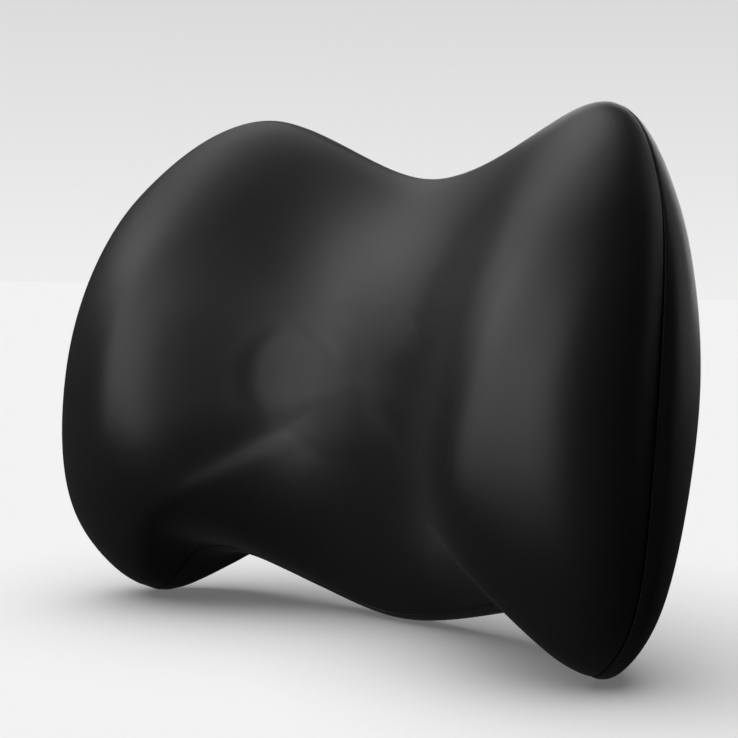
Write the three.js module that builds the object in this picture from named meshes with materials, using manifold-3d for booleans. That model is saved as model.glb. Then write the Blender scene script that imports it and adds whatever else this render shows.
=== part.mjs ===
// A moulded foam head and neck rest that is strapped to the back of an office chair.
// X is its width, the hollow for the neck faces -Y, and the strap and the zip are on the +Y side.
// It stands on its two wing tips and its back edge, leaning backwards.
import * as THREE from 'three';
import { mergeVertices } from 'three/addons/utils/BufferGeometryUtils.js';
import ManifoldModule from 'manifold-3d';

const wasm = await ManifoldModule();
wasm.setup();

// ---- driving dimensions, in millimetres and degrees ----
const HEIGHT = 230;
const HALF_WIDTH = 152;          // to the seam, at the widest place
const LEAN = 11;                 // tilt backwards as the pillow stands
const STAND = { y: 2.34, z: -0.04 };  // centres the tilted pillow and settles it on Z = 0

// right half of the seam seen from the front, from the dip at the top round to the bottom
const SEAM_OUTLINE = [
  [0, 204], [98, HEIGHT], [137, 188], [HALF_WIDTH, 83], [145, 19], [121, -1], [97, 24], [0, 7],
];
// how far the seam runs to the back towards the ends, the sides, the top and the wing tips
const SEAM_SWEEP = { ends: 8, sides: -45, tilt: -7, tips: -2.5 };
// depth of the front at the bottom, the middle and the top
const WING_DEPTH = [87, 92, 62];
const VALLEY_DEPTH = [30, 36, 25];
const WING_CREST_X = [93, 119];  // at the bottom and at the top
const VALLEY_SHAPE = 1.6;        // above 1 the valley is broader than a plain wave
// roundness and overhang beyond the seam: at the top, the sides and the bottom
const FRONT_ROUND = [1.8, 2.2, 1.7];
const FRONT_OVERHANG = [-4.5, 0, -5.5];
const BACK_OVERHANG = [-7, 17, 10];
const BACK_DEPTH = 36;
const BACK_ROUND = 1.9;
const BACK_FLAT = 0.58;          // part of the back, from its middle, that is flat
const INNER_OVAL = { x: 0.97 * HALF_WIDTH, z: 0.47 * HEIGHT };
const OVAL_BLEND = 2.2;          // how fast the seam's outline fades into the oval

const FACETS = [4, 3, 4, 3, 2, 2, 4];  // between the points of SEAM_OUTLINE
const ROWS = 8;                  // facets from the seam to the middle of a panel
const GAP = 0.4;                 // clearance between pieces that lie on each other
const COVER = 1.1;               // thickness of the knitted cover
const LINER = 0.7;               // thickness of the foam's liner
const SEAM_RECESS = 1.3;         // each panel's edge, measured from the seam line
const SECOND_ROW = 5;            // the next row of facets, measured from the seam line
const SEAM_CORD = { radius: 0.5, depth: 1.1, sides: 6 };

// the grip strips on the flat back and what lies between them
const FLAT_BACK = BACK_DEPTH + GAP;
const GRIP = { width: 116, height: 20, thick: 1.2, corner: 6, z: [82, 142] };
const STRAP = { width: 25, thick: 1.2, hinge: 88, y: 39.5, z: 112 };
const LOOP_RADIUS = 2.6;         // of the strap's centre line round a buckle bar
const BAR_Y = STRAP.y + LOOP_RADIUS;
const ANCHOR = { inner: 90, length: 20, tilt: 8, thick: 1.0, border: 4 };
const SOCKET = { mouth: 0, length: 22, width: 31, thick: 6.4, bar: -26.5 };
const PLUG = { tip: 3, base: 22, end: 34.5, bar: 33.5, width: 31, thick: 2.8 };
const ADJUSTER = { x: 60, length: 7, wall: 1.0 };
const ZIP = { length: 118, z: 58, tape: 7, tapeThick: 0.6, pitch: 3, rise: 1.6, slack: 0.3 };
const SLIDER = { x: 50, length: 9, width: 8.4, plate: 0.8 };
const PULL = { length: 19, width: 6.6, thick: 1.0 };

const MATERIALS = {
  cover: { color: 0x0c0c0d, roughness: 0.62, metalness: 0 },
  backCover: { color: 0x0f0f10, roughness: 0.7, metalness: 0 },
  liner: { color: 0xd9d6cc, roughness: 0.9, metalness: 0 },
  foam: { color: 0xe6dfc8, roughness: 0.95, metalness: 0 },
  thread: { color: 0x08080a, roughness: 0.6, metalness: 0 },
  grip: { color: 0x17171a, roughness: 0.85, metalness: 0 },
  webbing: { color: 0x101012, roughness: 0.75, metalness: 0 },
  plastic: { color: 0x131315, roughness: 0.45, metalness: 0 },
  metal: { color: 0x3a3a3e, roughness: 0.35, metalness: 0.9 },
};

const pillow = new THREE.Group();
pillow.rotation.x = -THREE.MathUtils.degToRad(LEAN);
pillow.position.set(0, STAND.y, STAND.z);

function addPiece(name, geometry, materialName, parent = pillow) {
  const material = new THREE.MeshStandardMaterial(MATERIALS[materialName]);
  const mesh = new THREE.Mesh(geometry, material);
  mesh.name = name;
  parent.add(mesh);
  return mesh;
}

// ---- closed bodies from loops of points, and booleans ----

// Joins two loops of points with triangles. A loop of one point is a pole. The diagonals of the
// four-sided facets start from the same loop whichever of the two is given first.
function bridge(indices, a, b, count, outwards) {
  for (let i = 0; i < count; i += 1) {
    const j = (i + 1) % count;
    if (a.size === 1) indices.push(a.start, b.start + i, b.start + j);
    else if (b.size === 1) indices.push(a.start + i, b.start, a.start + j);
    else if (outwards) {
      indices.push(a.start + i, b.start + i, a.start + j);
      indices.push(a.start + j, b.start + i, b.start + j);
    } else {
      indices.push(a.start + i, b.start + i, b.start + j);
      indices.push(a.start + i, b.start + j, a.start + j);
    }
  }
}

function signedVolume(points, indices) {
  let volume = 0;
  for (let i = 0; i < indices.length; i += 3) {
    const [a, b, c] = indices.slice(i, i + 3).map((k) => points[k]);
    volume += a.dot(b.clone().cross(c)) / 6;
  }
  return volume;
}

// A closed body from loops of points in order. outwards(i) says whether the loops go away from the
// middle of a panel after loop i, and wrap joins the last loop to the first.
function loopBody(loops, { outwards = () => false, wrap = false } = {}) {
  const points = loops.flat();
  const spans = [];
  let start = 0;
  for (const loop of loops) {
    spans.push({ start, size: loop.length });
    start += loop.length;
  }
  const count = Math.max(...loops.map((loop) => loop.length));
  const indices = [];
  spans.slice(1).forEach((span, i) => {
    if (spans[i].size + span.size > 2) bridge(indices, spans[i], span, count, outwards(i));
  });
  if (wrap) bridge(indices, spans.at(-1), spans[0], count, true);
  if (signedVolume(points, indices) < 0) indices.reverse();
  const geometry = new THREE.BufferGeometry();
  const places = points.flatMap((point) => point.toArray());
  geometry.setAttribute('position', new THREE.Float32BufferAttribute(places, 3));
  geometry.setIndex(indices);
  return geometry;
}

function toSolid(geometry) {
  const bare = geometry.clone();
  bare.deleteAttribute('normal');
  bare.deleteAttribute('uv');
  const merged = mergeVertices(bare, 1e-4);
  const mesh = new wasm.Mesh({
    numProp: 3,
    vertProperties: new Float32Array(merged.attributes.position.array),
    triVerts: new Uint32Array(merged.index.array),
  });
  mesh.merge();
  return new wasm.Manifold(mesh);
}

function toGeometry(solid) {
  const mesh = solid.getMesh();
  const geometry = new THREE.BufferGeometry();
  geometry.setAttribute('position', new THREE.BufferAttribute(mesh.vertProperties, 3));
  geometry.setIndex(new THREE.BufferAttribute(mesh.triVerts, 1));
  return geometry;
}

function box(x, y, z) {
  const geometry = new THREE.BoxGeometry(x[1] - x[0], y[1] - y[0], z[1] - z[0]);
  return geometry.translate((x[0] + x[1]) / 2, (y[0] + y[1]) / 2, (z[0] + z[1]) / 2);
}

function joined(first, ...others) {
  return others.reduce((solid, part) => solid.add(toSolid(part)), toSolid(first));
}

function cutFrom(solid, ...cutters) {
  return cutters.reduce((rest, cutter) => rest.subtract(toSolid(cutter)), solid);
}

// An outline in X and Z, made thick along Y from y0.
function plateXZ(shape, y0, thick, curveSegments = 4) {
  const geometry = new THREE.ExtrudeGeometry(shape, { depth: thick, bevelEnabled: false, curveSegments });
  return geometry.rotateX(Math.PI / 2).translate(0, y0 + thick, 0);
}

// An outline in X and Y, made wide along Z about z = 0.
function plateXY(shape, width, curveSegments = 4) {
  const geometry = new THREE.ExtrudeGeometry(shape, { depth: width, bevelEnabled: false, curveSegments });
  return geometry.translate(0, 0, -width / 2);
}

function roundedRectangle(width, height, corner) {
  const [x, z] = [width / 2, height / 2];
  const shape = new THREE.Shape();
  shape.moveTo(corner - x, -z);
  shape.lineTo(x - corner, -z);
  shape.absarc(x - corner, corner - z, corner, -Math.PI / 2, 0);
  shape.lineTo(x, z - corner);
  shape.absarc(x - corner, z - corner, corner, 0, Math.PI / 2);
  shape.lineTo(corner - x, z);
  shape.absarc(corner - x, z - corner, corner, Math.PI / 2, Math.PI);
  shape.lineTo(-x, corner - z);
  shape.absarc(corner - x, corner - z, corner, Math.PI, 1.5 * Math.PI);
  return shape;
}

// ---- the pillow's surface ----

const leftHalf = SEAM_OUTLINE.slice(1, -1).map(([x, z]) => [-x, z]).reverse();
const seamPoints = [...SEAM_OUTLINE, ...leftHalf].map(([x, z]) => new THREE.Vector3(x, 0, z));
const seamLine = new THREE.CatmullRomCurve3(seamPoints, true, 'centripetal');
seamLine.arcLengthDivisions = 100 * seamPoints.length;

// Where the facets start round the seam, from 0 to 1, with one at each point of the outline.
function facetTurns() {
  const lengths = seamLine.getLengths();
  const turnAt = (point) => lengths[100 * point] / lengths.at(-1);
  const counts = [...FACETS, ...FACETS.toReversed()];
  return counts.flatMap((count, point) => Array.from({ length: count }, (unused, i) => (
    THREE.MathUtils.lerp(turnAt(point), turnAt(point + 1), i / count))));
}

const TURNS = facetTurns();
const MIDDLE_Z = (SEAM_OUTLINE[0][1] + SEAM_OUTLINE.at(-1)[1]) / 2;
const fromMiddle = (z) => (2 * z) / HEIGHT - 1;    // -1 at the bottom, 1 at the top

function overHeight([bottom, middle, top], z) {
  const u = fromMiddle(z);
  return middle + (top - bottom) / 2 * u + ((top + bottom) / 2 - middle) * u * u;
}

function seamSweep(edge) {
  const up = fromMiddle(edge.z);
  const out = edge.x / HALF_WIDTH;
  const tip = Math.min(up, 0) ** 2 * out ** 2;
  return SEAM_SWEEP.ends * up ** 2 + SEAM_SWEEP.sides * out ** 2 + SEAM_SWEEP.tilt * up
    + SEAM_SWEEP.tips * tip;
}

function frontDepth(x, z, reach, round) {
  const valley = overHeight(VALLEY_DEPTH, z);
  const wing = overHeight(WING_DEPTH, z);
  const crest = THREE.MathUtils.lerp(WING_CREST_X[0], WING_CREST_X[1], z / HEIGHT);
  const across = Math.min(Math.abs(x) / crest, 1);
  const rise = ((1 - Math.cos(Math.PI * across)) / 2) ** VALLEY_SHAPE;
  return (valley + (wing - valley) * rise) * (1 - reach ** round) ** (1 / round);
}

function backDepth(reach) {
  const beyondFlat = Math.max(reach - BACK_FLAT, 0) / (1 - BACK_FLAT);
  return BACK_DEPTH * (1 - beyondFlat ** BACK_ROUND) ** (1 / BACK_ROUND);
}

// A point of the front or the back: turn goes round the seam from 0 to 1, and rise from 0 at the
// seam to a quarter turn at the panel's middle.
function surfacePoint(isFront, turn, rise) {
  const edge = seamLine.getPointAt((turn + 1) % 1);
  const out = new THREE.Vector2(edge.x, edge.z - MIDDLE_Z);
  const share = out.clone().normalize();
  const mix = ([top, side, bottom]) => side * share.x ** 2
    + (share.y > 0 ? top : bottom) * share.y ** 2;
  const reach = Math.max(Math.cos(rise), 0);
  const angle = 2 * Math.PI * turn;
  const oval = new THREE.Vector2(INNER_OVAL.x * Math.sin(angle), INNER_OVAL.z * Math.cos(angle));
  const place = oval.lerp(out, reach ** OVAL_BLEND).multiplyScalar(reach);
  const overhang = mix(isFront ? FRONT_OVERHANG : BACK_OVERHANG) * Math.sin(2 * rise) * reach;
  place.addScaledVector(share, overhang);
  const z = place.y + MIDDLE_Z;
  const sweep = seamSweep(edge);
  if (isFront) {
    const y = sweep * reach ** 2 - frontDepth(place.x, z, reach, mix(FRONT_ROUND));
    return new THREE.Vector3(place.x, y, z);
  }
  const beyondFlat = Math.max(reach - BACK_FLAT, 0) / (1 - BACK_FLAT);
  return new THREE.Vector3(place.x, sweep * beyondFlat ** 2 + backDepth(reach), z);
}

function surfaceNormal(isFront, turn, rise) {
  const along = surfacePoint(isFront, turn + 0.003, rise).sub(surfacePoint(isFront, turn - 0.003, rise));
  const lower = Math.max(rise - 0.02, 0.004);
  const up = surfacePoint(isFront, turn, rise + 0.02).sub(surfacePoint(isFront, turn, lower));
  const normal = along.cross(up).normalize();
  return isFront ? normal.negate() : normal;
}

// The rise at which a panel is the given distance from the seam.
function riseAt(isFront, turn, distance) {
  const seam = surfacePoint(isFront, turn, 0);
  let [low, high] = [0, 0.8];
  for (let i = 0; i < 24; i += 1) {
    const middle = (low + high) / 2;
    if (surfacePoint(isFront, turn, middle).distanceTo(seam) < distance) low = middle;
    else high = middle;
  }
  return low;
}

// The rises of a panel's rows of points. Every layer uses the same ones, so its facets lie parallel.
function rowRises(isFront, turn) {
  const rises = [riseAt(isFront, turn, SEAM_RECESS)];
  const second = riseAt(isFront, turn, SECOND_ROW);
  for (let row = 0; row < ROWS; row += 1) {
    rises.push(THREE.MathUtils.lerp(second, Math.PI / 2, row / ROWS));
  }
  return rises;
}

// Loops of points from a panel's edge to its middle, at a depth below the surface.
function panelLoops(isFront, depth, firstRow = 0) {
  const loops = Array.from({ length: ROWS + 1 }, () => []);
  for (const turn of TURNS) {
    rowRises(isFront, turn).forEach((rise, row) => {
      const normal = surfaceNormal(isFront, turn, rise);
      loops[row].push(surfacePoint(isFront, turn, rise).addScaledVector(normal, -depth));
    });
  }
  const middle = surfacePoint(isFront, 0, Math.PI / 2);
  middle.y += isFront ? depth : -depth;
  return [...loops.slice(firstRow), [middle]];
}

function shell(isFront, depth, thick) {
  const outer = panelLoops(isFront, depth);
  const inner = panelLoops(isFront, depth + thick);
  return loopBody([...outer, ...inner.reverse()], { outwards: (i) => i >= outer.length, wrap: true });
}

function inwardAtSeam(turn) {
  const front = surfaceNormal(true, turn, riseAt(true, turn, SEAM_RECESS));
  const back = surfaceNormal(false, turn, riseAt(false, turn, SEAM_RECESS));
  return front.add(back).normalize().negate();
}

function seamLoop(depth) {
  return TURNS.map((turn) => (
    surfacePoint(true, turn, 0).addScaledVector(inwardAtSeam(turn), depth)));
}

// ---- foam, liner, cover and seam ----

const linerDepth = COVER + GAP;
const foamDepth = linerDepth + LINER + 1.5 * GAP;

function makeFoam() {
  const front = panelLoops(true, foamDepth, 1);
  const back = panelLoops(false, foamDepth, 1);
  return loopBody([...front.reverse(), seamLoop(foamDepth + 1.4), ...back], {
    outwards: (i) => i < front.length,
  });
}

function makeSeamCord() {
  const centres = seamLoop(SEAM_CORD.depth);
  const rings = centres.map((centre, i) => {
    const inward = inwardAtSeam(TURNS[i]);
    const before = centres.at(i - 1);
    const after = centres[(i + 1) % centres.length];
    const across = after.clone().sub(before).cross(inward).normalize();
    return Array.from({ length: SEAM_CORD.sides }, (unused, k) => {
      const angle = (2 * Math.PI * k) / SEAM_CORD.sides;
      return centre.clone()
        .addScaledVector(inward, SEAM_CORD.radius * Math.cos(angle))
        .addScaledVector(across, SEAM_CORD.radius * Math.sin(angle));
    });
  });
  return loopBody(rings, { wrap: true });
}

addPiece('foam_core', makeFoam(), 'foam');
addPiece('liner_front', shell(true, linerDepth, LINER), 'liner');
addPiece('liner_back', shell(false, linerDepth, LINER), 'liner');
addPiece('cover_front', shell(true, 0, COVER), 'cover');
addPiece('cover_back', shell(false, 0, COVER), 'backCover');
addPiece('edge_seam', makeSeamCord(), 'thread');

// ---- grip strips and the sewn ends of the strap ----

function makeGripStrip(z) {
  const outline = roundedRectangle(GRIP.width, GRIP.height, GRIP.corner);
  return plateXZ(outline, FLAT_BACK, GRIP.thick).translate(0, 0, z);
}

addPiece('grip_strip_lower', makeGripStrip(GRIP.z[0]), 'grip');
addPiece('grip_strip_upper', makeGripStrip(GRIP.z[1]), 'grip');

const strapLevel = new THREE.Group();
strapLevel.position.z = STRAP.z;
pillow.add(strapLevel);

// The sewn end lies on the cover, which falls away there, with a stitched patch on top of it.
function addAnchor(side, name) {
  const ground = new THREE.Group();
  ground.position.set(side * ANCHOR.inner, FLAT_BACK + 0.3, 0);
  ground.rotation.z = -side * THREE.MathUtils.degToRad(ANCHOR.tilt);
  strapLevel.add(ground);
  const span = (from, to) => (side > 0 ? [from, to] : [-to, -from]);
  const half = STRAP.width / 2;
  const end = box(span(0, ANCHOR.length), [0, STRAP.thick], [-half, half]);
  addPiece(`strap_end_${name}`, end, 'webbing', ground);
  const top = STRAP.thick + GAP;
  const patch = plateXZ(roundedRectangle(ANCHOR.length + ANCHOR.border, STRAP.width + 2 * ANCHOR.border, 3),
    top, ANCHOR.thick);
  patch.translate(side * (ANCHOR.length + ANCHOR.border) / 2, 0, 0);
  addPiece(`anchor_patch_${name}`, patch, 'backCover', ground);
}

addAnchor(-1, 'left');
addAnchor(1, 'right');

// ---- strap halves, buckle and adjuster ----

// A flat band that follows a path in X and Y.
function band(path) {
  const side = (sign) => path.map((point, i) => {
    const before = path[Math.max(i - 1, 0)];
    const after = path[Math.min(i + 1, path.length - 1)];
    const across = after.clone().sub(before).normalize();
    const normal = new THREE.Vector2(-across.y, across.x);
    return point.clone().addScaledVector(normal, sign * STRAP.thick / 2);
  });
  const shape = new THREE.Shape([...side(1), ...side(-1).reverse()]);
  return plateXY(shape, STRAP.width);
}

// The webbing runs from its sewn end round a buckle bar and back along itself to the tail's end.
// Here it runs towards +X, and barX and tailX are measured from the middle of the back.
function strapPath(barX, tailX) {
  const path = [new THREE.Vector2(0.5 - STRAP.hinge, STRAP.y)];
  path.push(new THREE.Vector2(barX - 12, STRAP.y), new THREE.Vector2(barX - 4, STRAP.y));
  for (let i = 0; i <= 8; i += 1) {
    const angle = Math.PI * (i / 8 - 0.5);
    path.push(new THREE.Vector2(barX + LOOP_RADIUS * Math.cos(angle), BAR_Y + LOOP_RADIUS * Math.sin(angle)));
  }
  const tailY = STRAP.y + STRAP.thick + GAP;
  path.push(new THREE.Vector2(barX - 4, BAR_Y + LOOP_RADIUS - 0.3));
  path.push(new THREE.Vector2(barX - 9, tailY + 0.5), new THREE.Vector2(barX - 13, tailY));
  path.push(new THREE.Vector2(tailX, tailY));
  return path;
}

const mirrored = (path) => path.map((p) => new THREE.Vector2(-p.x, p.y)).reverse();

addPiece('strap_left', band(strapPath(SOCKET.bar, -56)), 'webbing', strapLevel);
addPiece('strap_right', band(mirrored(strapPath(-PLUG.bar, -76))), 'webbing', strapLevel);

function makeSocket() {
  const half = SOCKET.width / 2;
  const y = [BAR_Y - SOCKET.thick / 2, BAR_Y + SOCKET.thick / 2];
  const back = SOCKET.mouth - SOCKET.length;
  const outer = SOCKET.bar - 1.2;
  const inside = STRAP.width / 2 + 0.5;
  const barDepth = [BAR_Y - 1.2, BAR_Y + 1.2];
  const railDepth = [BAR_Y - 2.2, BAR_Y + 2.2];
  const solid = joined(
    box([back, SOCKET.mouth], y, [-half, half]),
    box([outer, back + 1], railDepth, [inside, half]),
    box([outer, back + 1], railDepth, [-half, -inside]),
    box([outer, SOCKET.bar + 1.2], barDepth, [-half, half]),
  );
  const cavity = box([back + 3, SOCKET.mouth + 1], [BAR_Y - 1.9, BAR_Y + 1.9], [-13.4, 13.4]);
  const window = (z) => box([back + 5, SOCKET.mouth - 5], [BAR_Y - 1.9, BAR_Y + 1.9], z);
  return toGeometry(cutFrom(solid, cavity, window([13, 17]), window([-17, -13])));
}

// Half of the plug's outline, from the middle of its end bar round to its centre guide.
function makePlug() {
  const half = PLUG.width / 2;
  const side = [
    [PLUG.end, half - 1.5], [PLUG.end - 1.5, half], [PLUG.base + 1, half], [PLUG.base, half - 1],
    [PLUG.base, 12.2], [PLUG.tip + 11, 12.6], [PLUG.tip + 9.6, 14.6], [PLUG.tip + 2, 12.4],
    [PLUG.tip, 10.4], [PLUG.tip, 9], [PLUG.tip + 3, 8.4], [PLUG.tip + 11, 9.4],
    [PLUG.base, 8.8], [PLUG.base, 1.8], [PLUG.tip + 6, 1.6], [PLUG.tip + 5, 0.8],
  ];
  const other = side.map(([x, z]) => [x, -z]).reverse();
  const shape = new THREE.Shape([...side, ...other].map(([x, z]) => new THREE.Vector2(x, z)));
  const window = new THREE.Path();
  const inside = STRAP.width / 2 + 0.5;
  const [left, right] = [PLUG.bar - 4.4, PLUG.bar - 1];
  window.setFromPoints([[left, -inside], [left, inside], [right, inside], [right, -inside]]
    .map(([x, z]) => new THREE.Vector2(x, z)));
  shape.holes.push(window);
  return plateXZ(shape, BAR_Y - PLUG.thick / 2, PLUG.thick);
}

// A flat ring that both layers of the strap pass through.
function makeAdjuster() {
  const bottom = STRAP.y - STRAP.thick / 2 - GAP;
  const top = STRAP.y + 1.5 * STRAP.thick + 2 * GAP;
  const half = STRAP.width / 2 + GAP;
  const x = [ADJUSTER.x - ADJUSTER.length / 2, ADJUSTER.x + ADJUSTER.length / 2];
  const wall = ADJUSTER.wall;
  const outer = toSolid(box(x, [bottom - wall / 2, top + wall], [-half - 2, half + 2]));
  return toGeometry(cutFrom(outer, box([x[0] - 1, x[1] + 1], [bottom, top], [-half, half])));
}

addPiece('buckle_socket', makeSocket(), 'plastic', strapLevel);
addPiece('buckle_plug', makePlug(), 'plastic', strapLevel);
addPiece('strap_adjuster', makeAdjuster(), 'plastic', strapLevel);

// ---- the zip that opens the cover ----

const zipLevel = new THREE.Group();
zipLevel.position.set(0, FLAT_BACK, ZIP.z);
pillow.add(zipLevel);

const toothDepth = 1.3;
const halfZip = ZIP.length / 2;

function makeTape(side) {
  const edges = [side * (toothDepth + 0.9), side * (toothDepth + 0.9 + ZIP.tape)];
  return box([-halfZip - 6, halfZip + 6], [0, ZIP.tapeThick], edges.sort((a, b) => a - b));
}

// A comb: one tooth per pitch on a narrow back strip. The two combs interleave.
function makeTeeth(side) {
  const tooth = ZIP.pitch / 2 - ZIP.slack;
  const shape = new THREE.Shape();
  const root = side * (toothDepth + 0.6);
  shape.moveTo(halfZip, root);
  shape.lineTo(-halfZip, root);
  shape.lineTo(-halfZip, side * 0.75);
  const offset = side > 0 ? 0 : ZIP.pitch / 2;
  for (let x = -halfZip + 1 + offset; x < halfZip - 3; x += ZIP.pitch) {
    shape.lineTo(x, side * 0.75);
    shape.lineTo(x + 0.2, -side * 0.4);
    shape.lineTo(x + tooth - 0.2, -side * 0.4);
    shape.lineTo(x + tooth, side * 0.75);
  }
  shape.lineTo(halfZip, side * 0.75);
  return plateXZ(shape, 0, ZIP.rise);
}

function addStops() {
  for (const [name, x] of [['closed', halfZip + 2], ['open', -halfZip - 2]]) {
    addPiece(`zip_stop_${name}`, box([x - 1.2, x + 1.2], [0, ZIP.rise + 0.6], [-2, 2]), 'metal', zipLevel);
  }
}

const sliderFloor = ZIP.rise + GAP;
const sliderTop = sliderFloor + SLIDER.plate;
const pullAxis = { x: SLIDER.x, y: sliderTop + GAP + PULL.thick / 2 };

// A plate over the teeth with a flange down each side and a small arch that holds the pull.
function makeSlider() {
  const x = [SLIDER.x - SLIDER.length / 2, SLIDER.x + SLIDER.length / 2];
  const half = SLIDER.width / 2;
  const flange = [ZIP.tapeThick + GAP, sliderTop];
  const archTop = sliderTop + 2.8;
  const solid = joined(
    box(x, [sliderFloor, sliderTop], [-half, half]),
    box(x, flange, [2.5, half]),
    box(x, flange, [-half, -2.5]),
    box([SLIDER.x - 3.2, SLIDER.x + 3.2], [sliderTop - 0.2, archTop], [-0.6, 0.6]),
  );
  const underArch = box([SLIDER.x - 2.1, SLIDER.x + 2.1], [sliderTop, archTop - 0.9], [-1, 1]);
  return toGeometry(cutFrom(solid, underArch));
}

function makePull() {
  const half = PULL.width / 2;
  const end = PULL.length - half;
  const shape = new THREE.Shape();
  shape.moveTo(-0.6, -1.9);
  shape.lineTo(5, -1.9);
  shape.lineTo(7, -half);
  shape.lineTo(end, -half);
  shape.absarc(end, 0, half, -Math.PI / 2, Math.PI / 2);
  shape.lineTo(7, half);
  shape.lineTo(5, 1.9);
  shape.lineTo(-0.6, 1.9);
  const eye = new THREE.Path();
  eye.setFromPoints([[0.6, -1.1], [0.6, 1.1], [4.8, 1.1], [4.8, -1.1]].map(([x, z]) => new THREE.Vector2(x, z)));
  shape.holes.push(eye);
  return plateXZ(shape, -PULL.thick / 2, PULL.thick).translate(pullAxis.x, pullAxis.y, 0);
}

addPiece('zip_tape_upper', makeTape(1), 'webbing', zipLevel);
addPiece('zip_tape_lower', makeTape(-1), 'webbing', zipLevel);
addPiece('zip_teeth_upper', makeTeeth(1), 'plastic', zipLevel);
addPiece('zip_teeth_lower', makeTeeth(-1), 'plastic', zipLevel);
addStops();
addPiece('zip_slider', makeSlider(), 'metal', zipLevel);
addPiece('zip_pull', makePull(), 'metal', zipLevel);

export default pillow;
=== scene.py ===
"""A strap-on foam head and neck rest for an office chair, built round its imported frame."""

import math

import bmesh
import bpy
import numpy as np
from mathutils import Matrix, Vector


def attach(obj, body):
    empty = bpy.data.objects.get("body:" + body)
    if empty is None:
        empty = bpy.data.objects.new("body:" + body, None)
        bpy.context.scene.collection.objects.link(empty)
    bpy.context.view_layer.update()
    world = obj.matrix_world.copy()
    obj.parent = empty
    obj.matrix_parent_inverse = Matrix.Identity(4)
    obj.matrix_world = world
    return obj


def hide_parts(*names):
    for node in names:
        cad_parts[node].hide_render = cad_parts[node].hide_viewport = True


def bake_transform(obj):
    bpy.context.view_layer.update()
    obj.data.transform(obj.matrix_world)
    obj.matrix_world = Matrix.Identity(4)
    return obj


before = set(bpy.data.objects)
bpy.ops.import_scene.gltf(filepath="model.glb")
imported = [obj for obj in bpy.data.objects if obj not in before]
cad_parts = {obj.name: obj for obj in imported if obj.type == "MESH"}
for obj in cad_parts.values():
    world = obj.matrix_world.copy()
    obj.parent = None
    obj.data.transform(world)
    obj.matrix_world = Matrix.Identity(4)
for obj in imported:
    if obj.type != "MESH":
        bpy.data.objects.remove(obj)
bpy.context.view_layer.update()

# ---------------- camera
# The camera looks at the rest's right front from a little above the table, through a long lens,
# and leans over by a degree and a half.
scene = bpy.context.scene
MM = 0.001
LOOK_AT = Vector((1.1, -4.8, 114.9)) * MM
DISTANCE = 0.6965
AZIMUTH, ELEVATION, ROLL = (math.radians(a) for a in (39.0, 3.1, 1.55))
away = Vector((
    math.sin(AZIMUTH) * math.cos(ELEVATION),
    -math.cos(AZIMUTH) * math.cos(ELEVATION),
    math.sin(ELEVATION),
))
lens = bpy.data.cameras.new("camera")
lens.lens, lens.sensor_width = 78.1, 36
camera = bpy.data.objects.new("camera", lens)
level = away.to_track_quat("Z", "Y").to_matrix().to_4x4()
camera.matrix_world = (Matrix.Translation(LOOK_AT + DISTANCE * away) @ level
                       @ Matrix.Rotation(ROLL, 4, "Z"))
scene.collection.objects.link(camera)
scene.camera = camera

# ---------------- studio
# A wide pale paper floor under a pale room. Large soft lamps light the rest from the left front,
# from high on the left, from the right side and from behind. A broad sky lights only the paper.
scene.view_settings.view_transform = "Standard"
PAPER, PAPER_RADIUS, PAPER_GLOW = (0.8, 0.8, 0.8, 1), 30, 0.13
HORIZON_GREY, UPPER_GREY, UPPER_START, ROOM_FILL = 0.86, 0.68, 0.2, 0.03
SKY_WIDTH, SKY_TILT, SKY_STRENGTH = math.radians(85), math.radians(-14), 3.0
REST_MIDDLE = Vector((0, 0, 0.11))


def node_material(name):
    """A new material, its node tree and its Principled shader."""
    material = bpy.data.materials.new(name)
    material.use_nodes = True
    tree = material.node_tree
    return material, tree, tree.nodes["Principled BSDF"]


def ranged(tree, value, low, high, least=0.0, most=1.0):
    """A value that runs from least to most, spread from low to high instead."""
    node = tree.nodes.new("ShaderNodeMapRange")
    tree.links.new(value, node.inputs["Value"])
    for socket, number in (("From Min", least), ("From Max", most), ("To Min", low), ("To Max", high)):
        node.inputs[socket].default_value = number
    return node.outputs[0]


def pick(*pieces):
    """Selects these pieces alone, with the first one active."""
    bpy.ops.object.select_all(action="DESELECT")
    for piece in pieces:
        piece.select_set(True)
    if pieces:
        bpy.context.view_layer.objects.active = pieces[0]


pick()
bpy.ops.mesh.primitive_circle_add(vertices=96, radius=PAPER_RADIUS, fill_type="NGON")
floor = bpy.context.object
floor.name = "floor"
paper, tree, shader = node_material("floor_paper")
shader.inputs["Base Color"].default_value = PAPER
shader.inputs["Roughness"].default_value = 0.9
shader.inputs["Specular IOR Level"].default_value = 0
shader.inputs["Emission Color"].default_value = (1, 1, 1, 1)
shader.inputs["Emission Strength"].default_value = PAPER_GLOW
floor.data.materials.append(paper)
floor.visible_diffuse = floor.visible_glossy = floor.visible_shadow = False

room = bpy.data.worlds.new("room")
room.use_nodes = True
tree = room.node_tree
coords = tree.nodes.new("ShaderNodeTexCoord")
upward = tree.nodes.new("ShaderNodeSeparateXYZ")
tree.links.new(coords.outputs["Generated"], upward.inputs[0])
grey = ranged(tree, upward.outputs["Z"], HORIZON_GREY, UPPER_GREY, 0, UPPER_START)
backdrop = tree.nodes["Background"]
tree.links.new(grey, backdrop.inputs["Color"])
dim = tree.nodes.new("ShaderNodeBackground")
dim.inputs["Strength"].default_value = ROOM_FILL
seen = tree.nodes.new("ShaderNodeLightPath")
either = tree.nodes.new("ShaderNodeMixShader")
tree.links.new(seen.outputs["Is Camera Ray"], either.inputs[0])
tree.links.new(dim.outputs[0], either.inputs[1])
tree.links.new(backdrop.outputs[0], either.inputs[2])
tree.links.new(either.outputs[0], tree.nodes["World Output"].inputs[0])
scene.world = room

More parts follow.
